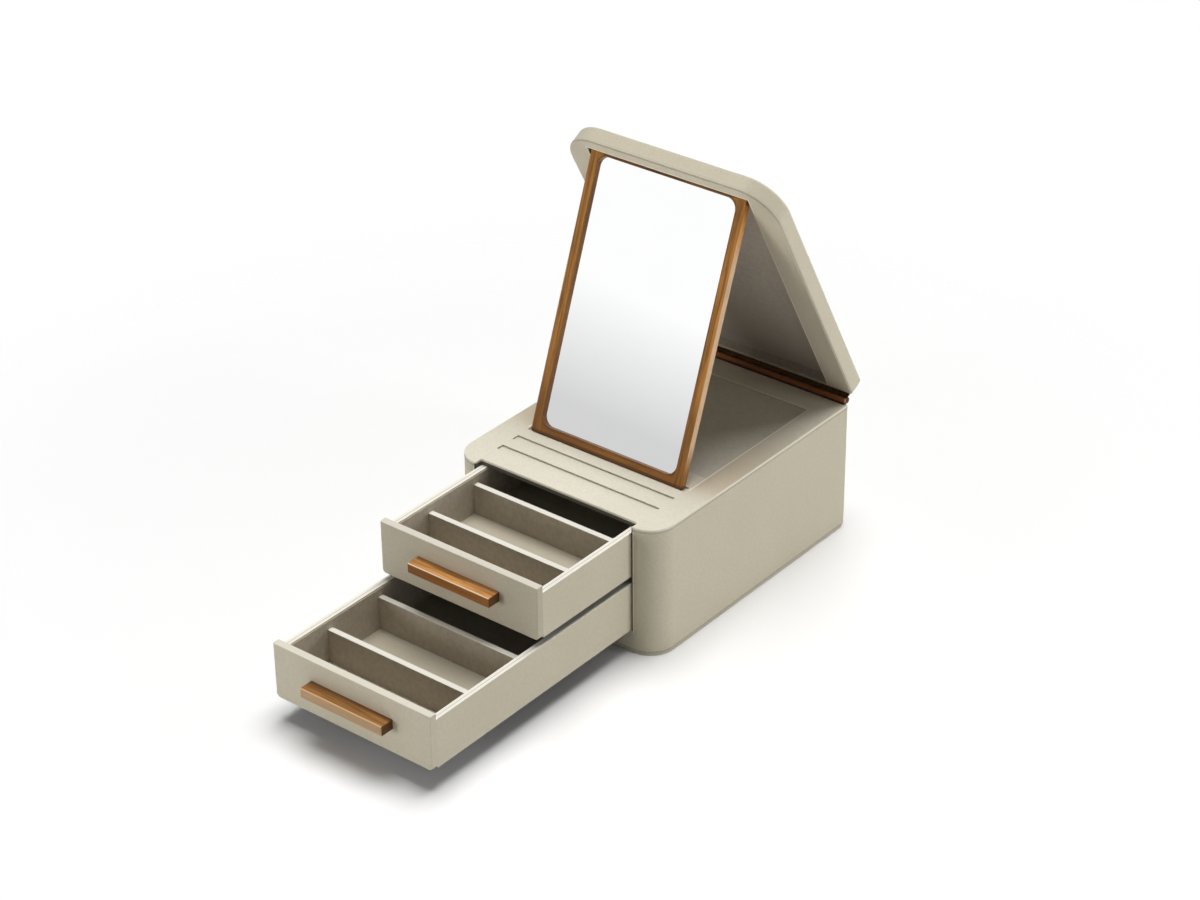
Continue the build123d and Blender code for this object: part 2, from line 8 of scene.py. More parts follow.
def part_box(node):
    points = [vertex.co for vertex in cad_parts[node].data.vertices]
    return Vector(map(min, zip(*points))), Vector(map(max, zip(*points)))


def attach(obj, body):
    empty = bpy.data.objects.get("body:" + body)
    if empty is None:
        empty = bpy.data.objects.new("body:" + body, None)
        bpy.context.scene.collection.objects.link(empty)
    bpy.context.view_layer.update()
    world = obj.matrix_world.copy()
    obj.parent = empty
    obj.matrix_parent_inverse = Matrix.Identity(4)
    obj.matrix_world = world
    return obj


bl_info = {
    "name": "Vanity box",
    "version": (1, 0, 0),
    "blender": (4, 5, 0),
    "location": "3D View > Sidebar > Vanity box",
    "description": "Dresses the vanity box in leather, suede, walnut, brass and mirror glass",
    "category": "Object",
}

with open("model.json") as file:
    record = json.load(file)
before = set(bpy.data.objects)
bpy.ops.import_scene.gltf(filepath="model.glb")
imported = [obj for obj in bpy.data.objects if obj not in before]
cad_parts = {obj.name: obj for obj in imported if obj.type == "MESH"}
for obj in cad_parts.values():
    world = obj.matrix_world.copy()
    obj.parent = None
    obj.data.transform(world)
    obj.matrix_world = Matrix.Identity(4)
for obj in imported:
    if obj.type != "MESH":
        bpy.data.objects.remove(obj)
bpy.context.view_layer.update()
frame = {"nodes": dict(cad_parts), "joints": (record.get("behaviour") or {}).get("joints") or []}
nodes = frame["nodes"]
MM = 0.001


# ---- measures taken from the fixed frame ----
def low(node):
    """The lowest corner of a CAD node."""
    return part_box(node)[0]


def high(node):
    """The highest corner of a CAD node."""
    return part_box(node)[1]


def joint_place(name):
    """The point that a joint turns about."""
    joint = next(j for j in frame["joints"] if j["name"] == name)
    return Vector(joint["pos_m"])


def lean_of(node):
    """How far a flat node has been turned about X from level, from the normal of its largest face."""
    normal = max(nodes[node].data.polygons, key=lambda face: face.area).normal
    up = normal if normal.z > 0 else -normal
    return atan2(-up.y, up.z)


def turn_about(pivot, angle):
    """The matrix of a turn about the X direction through a point."""
    pivot = Vector(pivot)
    return Matrix.Translation(pivot) @ Matrix.Rotation(angle, 4, "X") @ Matrix.Translation(-pivot)


def level_box(node, pivot, lean):
    """The lowest and highest corners of a node once it is turned back to level."""
    back = turn_about(pivot, -lean)
    points = [back @ v.co for v in nodes[node].data.vertices]
    return (
        Vector(min(point[axis] for point in points) for axis in range(3)),
        Vector(max(point[axis] for point in points) for axis in range(3)),
    )


SIDE = high("case_wrap").x
FRONT = low("case_wrap").y
BACK = high("case_wrap").y
BASE = low("case_wrap").z
TOP = high("top_cover").z
SKIN_TOP = high("case_wrap").z
HINGE = joint_place("lid_hinge")
PIVOT = joint_place("mirror_fold")
LID_LEAN = lean_of("lid_lining")
MIRROR_LEAN = lean_of("mirror_glass")
LID_LOW, LID_HIGH = level_box("lid_wrap", HINGE, LID_LEAN)
RECESS_LOW, RECESS_HIGH = level_box("lid_lining", HINGE, LID_LEAN)
MIRROR_LOW, MIRROR_HIGH = level_box("mirror_frame", PIVOT, MIRROR_LEAN)
BAY = high("lower_panel").x
BAY_FLOOR = high("base_board").z
CORNER = 22 * MM                # radius of the case's front corners, from above
LID_CORNER = 30 * MM            # and of the lid's
FRAME_FACE = 8 * MM             # width of the mirror frame's stiles and foot rail
HEAD_FACE = 6 * MM              # and of its head rail
GLASS_CORNER = 6 * MM           # radius of the frame's opening

# The top's two open grooves, the sunk tray behind the mirror, and the painted highlight line round the tray.
INNER = SIDE - 20.7 * MM
GROOVE_FLOOR = TOP - 1.55 * MM
GROOVES_FRONT, GROOVES_BACK = FRONT + 9 * MM, FRONT + 58 * MM
TRAY_FLOOR = TOP - 0.9 * MM
TRAY_WALL = TOP - 0.76 * MM
TRAY_FRONT, TRAY_BACK = FRONT + 75 * MM, BACK - 4 * MM
LINE_SIDE, LINE_FRONT, LINE_BACK = SIDE - 21 * MM, FRONT + 68 * MM, BACK - 26 * MM


def rgb(red, green, blue):
    """A screen colour from 0 to 255 as the linear colour that a shader takes."""
    def linear(value):
        value /= 255
        return value / 12.92 if value <= 0.04045 else ((value + 0.055) / 1.055) ** 2.4

    return (linear(red), linear(green), linear(blue), 1.0)


def between(first, second, share):
    """A colour part of the way from one to another."""
    return tuple(a + (b - a) * share for a, b in zip(first, second))


def shade(colour, factor):
    """A colour made lighter or darker."""
    return tuple(min(1.0, c * factor) for c in colour[:3]) + (1.0,)


WHITE = (1.0, 1.0, 1.0, 1.0)
FLOOR_WHITE = (0.98, 0.98, 0.98, 1.0)
FLOOR_GREY = (0.7, 0.7, 0.7, 1.0)
BARE_BOARD = rgb(150, 120, 86)
BAY_GAP_SHADE = rgb(34, 29, 22)
COVER_EDGE_SHADE = rgb(48, 42, 32)
GROOVE_SHADE = rgb(96, 88, 70)
WALL_UNDERSIDE_SHADE = rgb(58, 52, 43)
WALNUT_REFLECTION = rgb(186, 160, 118)
HANDLE_END = rgb(78, 44, 12)
BATTEN_FOOT = rgb(50, 26, 12)
STILE_HIGHLIGHT = rgb(228, 196, 158)

# Pale and dark bands, the front face's painted tone and the painted highlight on the top front edge of each
# handle.
HANDLE_TONES = {
    "upper": (rgb(222, 160, 92), rgb(132, 82, 36), rgb(120, 66, 10), rgb(255, 236, 204)),
    "lower": (rgb(168, 118, 64), rgb(98, 60, 24), rgb(192, 160, 120), rgb(222, 184, 136)),
}


# ---- shader maths ----
class Value:
    """A shader socket that can be used in Python expressions."""

    def __init__(self, build, socket):
        self.build = build
        self.socket = socket

    def _math(self, operation, first, second=None, clamp=False):
        inputs = {0: first} if second is None else {0: first, 1: second}
        return self.build.add("ShaderNodeMath", {"operation": operation, "use_clamp": clamp}, inputs)

    def __add__(self, other):
        return self._math("ADD", self, other)

    __radd__ = __add__

    def __sub__(self, other):
        return self._math("SUBTRACT", self, other)

    def __rsub__(self, other):
        return self._math("SUBTRACT", other, self)

    def __mul__(self, other):
        return self._math("MULTIPLY", self, other)

    __rmul__ = __mul__

    def __truediv__(self, other):
        return self._math("DIVIDE", self, other)

    def __pow__(self, other):
        return self._math("POWER", self, other)

    def __abs__(self):
        return self._math("ABSOLUTE", self)

    def above(self, level):
        """1 where the value is over a level."""
        return self._math("GREATER_THAN", self, level)

    def below(self, level):
        """1 where the value is at a level or under it."""
        return 1.0 - self.above(level)

    def most(self, other):
        """The greater of two values."""
        return self._math("MAXIMUM", self, other)

    def clamp(self):
        """The value held between 0 and 1."""
        return self._math("ADD", self, 0.0, clamp=True)

    def ease(self, start, end):
        """0 before start, 1 after end, smooth between."""
        return self.build.add(
            "ShaderNodeMapRange",
            {"interpolation_type": "SMOOTHSTEP"},
            {"Value": self, "From Min": start, "From Max": end, "To Min": 0.0, "To Max": 1.0},
        )

    def fade(self, start, end):
        """1 before start, 0 after end, smooth between."""
        return 1.0 - self.ease(start, end)

    def line(self, place, half_width, soft):
        """1 on a line at one place, fading over a soft edge."""
        return abs(self - place).fade(half_width, half_width + soft)

    def inside(self, start, end):
        """1 between two places, with hard edges."""
        return self.above(start) * self.below(end)


class Build:
    """Builds the nodes of one material, or of the room."""

    def __init__(self, owner):
        self.owner = owner
        owner.use_nodes = True
        self.tree = owner.node_tree
        self.tree.nodes.clear()

    def add(self, kind, settings=None, inputs=None, output=0):
        """A node of one type, with its settings first and then its inputs' values or links."""
        node = self.tree.nodes.new(kind)
        for name, value in (settings or {}).items():
            if name == "stops":
                set_stops(node.color_ramp, value)
            else:
                setattr(node, name, value)
        for name, value in (inputs or {}).items():
            socket = node.inputs[name]
            if isinstance(value, Value):
                self.tree.links.new(value.socket, socket)
            else:
                socket.default_value = value
        return Value(self, node.outputs[output])

    def place(self):
        """The Object coordinates."""
        return self.add("ShaderNodeTexCoord", output="Object")

    def parts(self, vector):
        """The three numbers of a vector."""
        first = self.add("ShaderNodeSeparateXYZ", inputs={"Vector": vector})
        node = first.socket.node
        return [Value(self, node.outputs[i]) for i in range(3)]

    def turned(self, vector, pivot, angle):
        """Coordinates turned about X, with the pivot as their origin."""
        centred = self.add(
            "ShaderNodeVectorMath", {"operation": "SUBTRACT"}, {0: vector, 1: tuple(pivot)}
        )
        return self.add(
            "ShaderNodeMapping", {"vector_type": "POINT"}, {"Vector": centred, "Rotation": (angle, 0, 0)}
        )

    def stretched(self, vector, scale):
        """Coordinates multiplied by a scale on each axis."""
        return self.add("ShaderNodeVectorMath", {"operation": "MULTIPLY"}, {0: vector, 1: scale})

    def noise(self, vector, scale, detail=3.0, rough=0.5, warp=0.0):
        """Cloudy noise from 0 to 1."""
        return self.add(
            "ShaderNodeTexNoise", {},
            {"Vector": vector, "Scale": scale, "Detail": detail, "Roughness": rough, "Distortion": warp},
        )

    def cells(self, vector, scale):
        """Rounded cells, as the distance from the middle of each."""
        return self.add(
            "ShaderNodeTexVoronoi", {"feature": "SMOOTH_F1"}, {"Vector": vector, "Scale": scale}, "Distance"
        )

    def mix(self, factor, first, second):
        """Two colours mixed."""
        return self.add("ShaderNodeMix", {"data_type": "RGBA"}, {0: factor, 6: first, 7: second}, 2)

    def tones(self, factor, colour, darker, lighter):
        """One colour, between two of its shades."""
        return self.mix(factor, shade(colour, darker), shade(colour, lighter))

    def ramp(self, value, stops):
        """The colour that a value has on a ramp of stops."""
        return self.add("ShaderNodeValToRGB", {"stops": stops}, {"Fac": value})

    def bump(self, height, distance, strength):
        """The normal of a surface whose relief rises by a distance."""
        return self.add("ShaderNodeBump", {}, {"Height": height, "Distance": distance, "Strength": strength})

    def seen(self):
        """1 for what the camera, mirrors and glass see directly, 0 for the light that falls on the box."""
        path = self.add("ShaderNodeLightPath").socket.node
        camera, glossy, glass = (
            Value(self, path.outputs[f"Is {kind} Ray"]) for kind in ("Camera", "Glossy", "Transmission")
        )
        return camera.most(glossy).most(glass)

    def surface(self, **inputs):
        """The Principled shader and the material's output."""
        names = {key.replace("_", " "): value for key, value in inputs.items()}
        shader = self.add("ShaderNodeBsdfPrincipled", {}, names)
        self.finish(shader, "ShaderNodeOutputMaterial")
        return self.owner

    def finish(self, shader, kind):
        """Joins a shader to the output."""
        node = self.tree.nodes.new(kind)
        self.tree.links.new(shader.socket, node.inputs["Surface"])


def set_stops(ramp, stops):
    """Gives a colour ramp its stops."""
    while len(ramp.elements) > 1:
        ramp.elements.remove(ramp.elements[-1])
    ramp.elements[0].position, ramp.elements[0].color = stops[0]
    for place, colour in stops[1:]:
        ramp.elements.new(place).color = colour


def dress(material, *names):
    """Gives CAD nodes their material."""
    for name in names:
        slots = nodes[name].data.materials
        slots.clear()
        slots.append(material)


# ---- finishes ----
def finish_of(name):
    """The nodes of a new finish."""
    return Build(bpy.data.materials.new(name))


def grain(build, place):
    """The fine pebbled grain of the leather, as a height from 0 to 1."""
    wander = 0.9 * MM
    drift = build.add("ShaderNodeTexNoise", {}, {"Vector": place, "Scale": 300.0}, "Color")
    bent = build.add(
        "ShaderNodeVectorMath", {"operation": "MULTIPLY_ADD"}, {0: drift, 1: (wander,) * 3, 2: place}
    )
    pebbles = build.cells(bent, 1150.0)
    creases = build.noise(place, 2600.0, detail=2.0)
    return pebbles * 0.7 + creases * 0.3


def leather(name, colour, marks=None):
    """Fine-grained leather. Marks give masks, each with the colour that it mixes in and its depth."""
    build = finish_of(name)
    place = build.place()
    tone = build.noise(place, 16.0, detail=4.0, rough=0.55)
    fleck = build.noise(place, 420.0)
    height = grain(build, place)
    skin = build.tones(tone.ease(0.3, 0.7), colour, 0.975, 1.015)
    skin = build.mix(fleck.ease(0.42, 0.62) * 0.36, skin, shade(colour, 0.88))
    skin = build.mix(height.ease(0.35, 0.75) * 0.28, skin, shade(colour, 0.74))
    relief = height * 0.1       # the grain is shallow beside the seams
    for mask, paint, depth in marks(build) if marks else ():
        skin = build.mix(mask, skin, paint)
        relief = relief - mask * depth
    rough = 0.56 + (fleck - 0.5) * 0.12
    normal = build.bump(relief, 1.1 * MM, 0.75)
    return build.surface(Base_Color=skin, Roughness=rough, Normal=normal, Specular_IOR_Level=0.35)


def suede(name, colour, top=None, top_height=0.0, pale_mark=None, pale_mark_height=0.0, marks=None):
    """Napped suede, with a leather top edge and a paler floor where their colours are given.

    Marks give masks, each with the colour that it mixes in.
    """
    build = finish_of(name)
    place = build.place()
    nap = build.noise(place, 240.0, detail=5.0, rough=0.65)
    fuzz = build.noise(place, 2400.0, detail=2.0, rough=0.6)
    cloth = build.tones(nap.ease(0.32, 0.68), colour, 0.88, 1.08)
    cloth = build.mix(fuzz.ease(0.4, 0.7) * 0.4, cloth, shade(colour, 1.25))
    rough = 0.92 + (fuzz - 0.5) * 0.06
    if top:
        edge = build.parts(place)[2].above(top_height - 0.15 * MM)
        cloth = build.mix(edge, cloth, build.tones(nap, top, 0.96, 1.0))
        rough = rough - edge * 0.35
    if pale_mark:
        flat = build.parts(place)[2].fade(pale_mark_height, pale_mark_height + 0.6 * MM)
        cloth = build.mix(flat * 0.7, cloth, pale_mark)
    for mask, paint in marks(build) if marks else ():
        cloth = build.mix(mask * (0.6 + 0.8 * nap), cloth, paint)
    normal = build.bump(nap * 0.5 + fuzz * 0.5, 0.6 * MM, 0.6)
    return build.surface(
        Base_Color=cloth, Roughness=rough, Normal=normal, Sheen_Weight=0.25, Sheen_Roughness=0.5,
        Specular_IOR_Level=0.2,
    )


def walnut(name, pale, dark, coordinates, marks=None):
    """Oiled walnut whose grain runs along the first axis of the given coordinates.

    Marks give masks, each with the colour that it mixes in.
    """
    build = finish_of(name)
    place = coordinates(build)
    rings = build.stretched(place, (0.05, 1.0, 1.0))
    wander = build.noise(rings, 130.0, detail=4.0, rough=0.6, warp=0.6)
    figure = build.noise(rings, 420.0, detail=5.0, rough=0.65)
    pore = build.noise(build.stretched(place, (0.02, 1.0, 1.0)), 2300.0, detail=2.0)
    streak = pore.ease(0.55, 0.7)
    wood = build.ramp(
        wander * 0.55 + figure * 0.45,
        [(0.36, dark), (0.46, between(dark, pale, 0.5)), (0.54, pale), (0.66, shade(pale, 1.25))],
    )
    wood = build.mix(streak * 0.6, wood, shade(dark, 0.75))
    for mask, paint in marks(build) if marks else ():
        wood = build.mix(mask, wood, paint)
    rough = 0.4 + (figure - 0.5) * 0.2
    normal = build.bump(figure * 0.4 - streak * 0.6, 0.4 * MM, 0.5)
    return build.surface(Base_Color=wood, Roughness=rough, Normal=normal, Specular_IOR_Level=0.3)


def metal(name, colour, dull, roughness, tarnish=0.35):
    """Metal with fine brushing and a little tarnish."""
    build = finish_of(name)
    place = build.place()
    surface_texture = build.noise(build.stretched(place, (0.06, 1.0, 1.0)), 3500.0, detail=2.0)
    patch = build.noise(place, 180.0, detail=4.0, rough=0.6).ease(0.4, 0.7)
    tone = build.mix(patch * tarnish, colour, dull)
    rough = roughness + (surface_texture - 0.5) * 0.14 + patch * 0.12
    normal = build.bump(surface_texture, 0.08 * MM, 0.4)
    return build.surface(Base_Color=tone, Roughness=rough, Metallic=1.0, Normal=normal)


def felt(name, colour):
    """Pressed felt."""
    build = finish_of(name)
    place = build.place()
    fibres = build.noise(place, 1500.0, detail=5.0, rough=0.7, warp=1.5)
    clumps = build.noise(place, 160.0)
    tone = build.tones(fibres.ease(0.35, 0.65), colour, 0.7, 1.35)
    tone = build.mix(clumps * 0.3, tone, shade(colour, 0.8))
    rough = 0.93 + (fibres - 0.5) * 0.05
    normal = build.bump(fibres, 0.8 * MM, 0.7)
    return build.surface(Base_Color=tone, Roughness=rough, Normal=normal, Sheen_Weight=0.2)


def fibreboard(name, colour):
    """Bare fibreboard."""
    build = finish_of(name)
    place = build.place()
    chips = build.noise(place, 900.0, detail=4.0, rough=0.7)
    layers = build.noise(build.stretched(place, (0.3, 0.3, 3.0)), 200.0)
    tone = build.tones(chips.ease(0.35, 0.65), colour, 0.8, 1.15)
    tone = build.mix(layers.ease(0.4, 0.6) * 0.4, tone, shade(colour, 0.9))
    rough = 0.85 + (chips - 0.5) * 0.1
    return build.surface(Base_Color=tone, Roughness=rough, Normal=build.bump(chips, 0.4 * MM, 0.6))


def silvered_glass():
    """Silvered mirror glass, with the faintest haze."""
    build = finish_of("silvered_glass")
    haze = build.noise(build.place(), 35.0, detail=4.0, rough=0.6)
    tone = build.mix(haze, rgb(255, 255, 255), rgb(251, 252, 252))
    return build.surface(Base_Color=tone, Roughness=0.012 + haze * 0.012, Metallic=1.0)


def thread(name, colour):
    """Twisted sewing thread."""
    build = finish_of(name)
    place = build.place()
    ply = build.noise(place, 4200.0, detail=2.0)
    wax = build.noise(place, 60.0, detail=2.0)
    tone = build.tones(ply.ease(0.35, 0.65), colour, 0.82, 1.1)
    tone = build.mix(wax * 0.3, tone, shade(colour, 0.9))
    rough = 0.6 + (ply - 0.5) * 0.1
    return build.surface(Base_Color=tone, Roughness=rough, Normal=build.bump(ply, 0.2 * MM, 0.5))


# ---- the turned pieces' own coordinates ----
def lid_place(build):
    """Coordinates of the lid laid level, from its hinge."""
    return build.turned(build.place(), HINGE, -LID_LEAN)


def mirror_place(build):
    """Coordinates of the mirror laid level, from its pins."""
    return build.turned(build.place(), PIVOT, -MIRROR_LEAN)


def rail_place(build):
    """The mirror's coordinates, with the first axis along the grain of each rail and stile."""
    level = mirror_place(build)
    x, y, z = build.parts(level)
    stile = abs(x).above(MIRROR_HIGH.x - FRAME_FACE - 0.3 * MM)
    upright = build.add("ShaderNodeCombineXYZ", {}, {"X": y, "Y": x, "Z": z})
    return build.add("ShaderNodeMix", {"data_type": "VECTOR"}, {0: stile, 4: level, 5: upright}, 1)


# ---- stitches ----
STITCH_ROW = "stitch_row"


def front_run(side, front, radius, start, end, height):
    """Points from the middle of the front round a right front corner and back along the side."""
    points = [Vector((start, front, height))]
    steps = 14
    for i in range(steps + 1):
        angle = -pi / 2 + i * pi / 2 / steps
        x = side - radius + radius * cos(angle)
        y = front + radius + radius * sin(angle)
        points.append(Vector((x, y, height)))
    points.append(Vector((side, end, height)))
    return points


def other_side(points):
    """The same points across X = 0."""
    return [Vector((-point.x, point.y, point.z)) for point in points]


def stitch_tree():
    """A node tree that lays stitches along each edge path of a mesh."""
    tree = bpy.data.node_groups.new(STITCH_ROW, "GeometryNodeTree")
    tree.interface.new_socket("Geometry", in_out="INPUT", socket_type="NodeSocketGeometry")
    for name in ("Pitch", "Length", "Thickness"):
        tree.interface.new_socket(name, in_out="INPUT", socket_type="NodeSocketFloat")
    tree.interface.new_socket("Thread", in_out="INPUT", socket_type="NodeSocketMaterial")
    tree.interface.new_socket("Geometry", in_out="OUTPUT", socket_type="NodeSocketGeometry")

    def add(kind, values=None, **settings):
        """A node of one type, with its settings first and then its inputs' values."""
        node = tree.nodes.new(kind)
        for name, value in settings.items():
            setattr(node, name, value)
        for name, value in (values or {}).items():
            node.inputs[name].default_value = value
        return node

    given = add("NodeGroupInput")
    path = add("GeometryNodeMeshToCurve")
    points = add("GeometryNodeCurveToPoints", mode="LENGTH")
    bead = add("GeometryNodeMeshUVSphere", {"Segments": 6, "Rings": 5, "Radius": 0.5})
    size = add("ShaderNodeCombineXYZ")
    stitch = add("GeometryNodeTransform")
    pull = add("FunctionNodeRandomValue", {"Min": 0.88, "Max": 1.0, "Seed": 7}, data_type="FLOAT")
    lay = add("GeometryNodeInstanceOnPoints")
    real = add("GeometryNodeRealizeInstances")
    dressed = add("GeometryNodeSetMaterial")
    result = add("NodeGroupOutput")
    for start, end in (
        (given.outputs["Geometry"], path.inputs["Mesh"]),
        (path.outputs["Curve"], points.inputs["Curve"]),
        (given.outputs["Pitch"], points.inputs["Length"]),
        (given.outputs["Thickness"], size.inputs["X"]),
        (given.outputs["Thickness"], size.inputs["Y"]),
        (given.outputs["Length"], size.inputs["Z"]),
        (bead.outputs["Mesh"], stitch.inputs["Geometry"]),
        (size.outputs["Vector"], stitch.inputs["Scale"]),
        (points.outputs["Points"], lay.inputs["Points"]),
        (points.outputs["Rotation"], lay.inputs["Rotation"]),
        (stitch.outputs["Geometry"], lay.inputs["Instance"]),
        (pull.outputs[1], lay.inputs["Scale"]),
        (lay.outputs["Instances"], real.inputs["Geometry"]),
        (real.outputs["Geometry"], dressed.inputs["Geometry"]),
        (given.outputs["Thread"], dressed.inputs["Material"]),
        (dressed.outputs["Geometry"], result.inputs["Geometry"]),
    ):
        tree.links.new(start, end)
    return tree


def path_along(name, runs):
    """An object whose edges follow several runs of points."""
    mesh = bpy.data.meshes.new(name)
    points, edges = [], []
    for run in runs:
        edges += [(len(points) + i, len(points) + i + 1) for i in range(len(run) - 1)]
        points += run
    mesh.from_pydata(points, edges, [])
    path = bpy.data.objects.new(name, mesh)
    bpy.context.scene.collection.objects.link(path)
    return path


def sew(name, runs, looks, colour, body):
    """Stitches along several runs of points, as one piece that rides on a body."""
    path = path_along(name, runs)
    tree = bpy.data.node_groups.get(STITCH_ROW) or stitch_tree()
    modifier = path.modifiers.new("stitches", "NODES")
    modifier.node_group = tree
    values = {
        "Pitch": looks.stitch_pitch,
        "Length": looks.stitch_length,
        "Thickness": looks.stitch_thickness,
        "Thread": thread(f"{body}_thread", colour),
    }
    for item in tree.interface.items_tree:
        if item.in_out == "INPUT" and item.name in values:
            modifier[item.identifier] = values[item.name]
    bpy.context.view_layer.update()
    worked = path.evaluated_get(bpy.context.evaluated_depsgraph_get())
    stitches = bpy.data.meshes.new_from_object(worked)
    path.modifiers.remove(modifier)
    path.data = stitches
    if not stitches.polygons:
        raise RuntimeError(f"{name} has no stitches")
    for face in stitches.polygons:
        face.use_smooth = True
    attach(path, body)


# ---- the stage's places, in metres and degrees ----
OVERHEAD_PLACE = Vector((0.0, 0.18, 0.98))  # only its direction counts
LEFT_LAMP_PLACE = Vector((-0.6, -1.8, 0.28))
RIGHT_LAMP_PLACE = Vector((1.7, 0.6, 0.25))
LAMP_AIM = Vector((0, 0, 0.15))
LAMP_SIZE = 0.5
FLOOR_SHIFT = 0.1                   # from the case forwards to the middle of the opened box
FLOOR_FADE = 0.4, 0.75              # distances from there between which the floor melts away
WALL_FADE = 0.065, 0.104            # Z of the directions between which the mirrored wall turns white
WALL_GREY = 0.655                   # its lightness below them
VIEW_TURN, VIEW_RISE, VIEW_ROLL = 38.898, 30.53, -0.5752
VIEW_AIM = Vector((0.04752, FRONT, 0.16906))
VIEW_DISTANCE = 2.3121
PICTURE_WIDTH = 1200                # pixels
FOCAL_LENGTH = 3108.69              # in the same pixels
SENSOR_WIDTH = 36.0                 # millimetres


# ---- settings ----
def colour_setting(name, description, default):
    """A colour that a user may change."""
    return bpy.props.FloatVectorProperty(
        name=name, description=description, subtype="COLOR", size=4, min=0.0, max=1.0, default=default
    )


def length_setting(name, description, default):
    """A length that a user may change."""
    return bpy.props.FloatProperty(
        name=name, description=description, subtype="DISTANCE", unit="LENGTH", default=default, precision=5
    )


class VanityLooks(bpy.types.PropertyGroup):
    """Colours and stitches of the box."""

    leather: colour_setting("Leather", "Greige leather of the case, lid and drawers", rgb(206, 198, 176))
    top_leather: colour_setting("Top leather", "Paler leather of the case's top", rgb(228, 222, 204))
    edge_leather: colour_setting(
        "Edge leather", "Cream leather along the drawers' top edges", rgb(246, 242, 230)
    )
    suede: colour_setting("Suede", "Taupe suede of the drawers and the lid's recess", rgb(185, 175, 159))
    walnut_pale: colour_setting("Pale walnut", "Light bands of the mirror frame", rgb(166, 114, 52))
    walnut_dark: colour_setting("Dark walnut", "Dark bands of the mirror frame", rgb(98, 58, 20))
    stitch_pitch: length_setting("Stitch pitch", "Distance between two stitches", 2.1 * MM)
    stitch_length: length_setting("Stitch length", "Length of one stitch", 1.4 * MM)
    stitch_thickness: length_setting("Thread", "Thickness of the thread", 0.7 * MM)


class VanityStage(bpy.types.PropertyGroup):
    """Sizes and light of the stage."""

    floor_size: length_setting("Floor size", "Side of the square floor", 14.0)
    key_strength: bpy.props.FloatProperty(
        name="Overhead light", description="Light that a level surface takes from overhead",
        default=0.82, min=0.0,
    )
    key_softness: bpy.props.FloatProperty(
        name="Softness", description="Width of the overhead light in the sky",
        subtype="ANGLE", default=radians(38),
    )
    left_power: bpy.props.FloatProperty(
        name="Left lamp", description="Power of the lamp at the front left",
        unit="POWER", default=9.0, min=0.0,
    )
    right_power: bpy.props.FloatProperty(
        name="Right lamp", description="Power of the lamp at the right",
        unit="POWER", default=10.3, min=0.0,
    )
    sky: bpy.props.FloatProperty(
        name="Room light", description="Strength of the even light from all round",
        default=0.12, min=0.0,
    )


